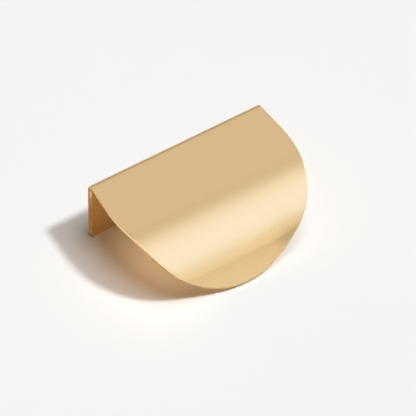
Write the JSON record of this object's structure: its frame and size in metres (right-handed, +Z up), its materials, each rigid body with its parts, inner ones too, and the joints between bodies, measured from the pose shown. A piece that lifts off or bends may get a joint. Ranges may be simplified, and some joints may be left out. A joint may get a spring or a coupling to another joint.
{
  "type": "drawer pull",
  "caption": "Half-moon edge pull bent from one brass sheet: a screw flange goes behind the drawer front, the flat top lies over its edge, and the lip curves down in front to a tip that flares out.",
  "frame": {"origin": "midway between the two screw holes, on the flange face that lies on the back of the drawer front", "axes": "+X along the fold, +Y out of the rear of the flange, with the lip towards -Y, and +Z up"},
  "size_m": [0.08, 0.0547, 0.0301],
  "materials": {
    "satin_brass": "satin, brushed along the fold and lacquered"
  },
  "bodies": {
    "root": {"half_moon_pull": "satin_brass"}
  },
  "joints": []
}
